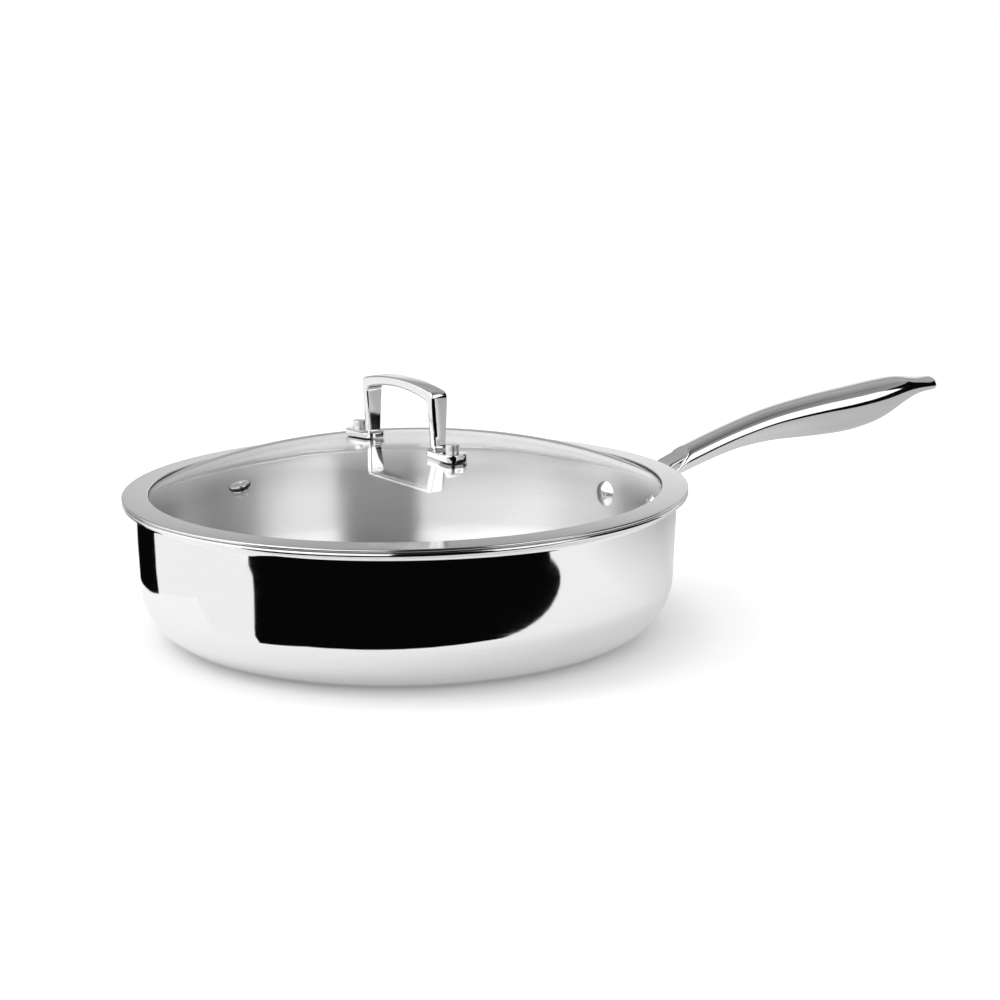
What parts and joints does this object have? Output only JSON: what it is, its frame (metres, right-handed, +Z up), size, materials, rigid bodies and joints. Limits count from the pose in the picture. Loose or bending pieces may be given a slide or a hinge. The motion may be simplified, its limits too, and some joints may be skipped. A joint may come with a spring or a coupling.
{
  "type": "saute pan with lid",
  "caption": "Round polished steel saute pan with straight walls, a flared rim, one long hollow handle and a domed glass lid with a bridge handle.",
  "frame": {"origin": "centre of the pan's flat base, on the surface that it stands on", "axes": "+Z up the pan's centre line; +X from the centre line along the long handle"},
  "size_m": [0.5, 0.3, 0.1354],
  "materials": {
    "polished_steel": "mirror polished stainless steel",
    "brushed_steel": "circular brushed stainless steel",
    "aluminium_core": "plain aluminium",
    "satin_band": "fine satin stainless steel",
    "cast_steel": "polished cast stainless steel",
    "clear_glass": "clear tempered glass",
    "black_rubber": "matt black silicone rubber"
  },
  "bodies": {
    "pan": {"outer_shell": "polished_steel", "aluminium_core": "aluminium_core", "inner_lining": "brushed_steel", "handle_bracket": "cast_steel", "handle_grip": "cast_steel", "rivet_left": "polished_steel", "rivet_right": "polished_steel"},
    "lid": {"lid_glass": "clear_glass", "lid_band": "satin_band", "glass_seal": "black_rubber", "lid_handle": "cast_steel", "vent_washer": "black_rubber", "vent_eyelet": "polished_steel", "post_nut_front": "polished_steel", "foot_gasket_front": "black_rubber", "glass_pad_front": "black_rubber", "steel_washer_front": "polished_steel", "clamp_screw_front": "polished_steel", "post_nut_rear": "polished_steel", "foot_gasket_rear": "black_rubber", "glass_pad_rear": "black_rubber", "steel_washer_rear": "polished_steel", "clamp_screw_rear": "polished_steel"}
  },
  "joints": [
    {"name": "lid_lift", "type": "slide", "parent": "pan", "child": "lid", "axis": [0, 0, 1], "range_m": [0, 0.15]}
  ]
}
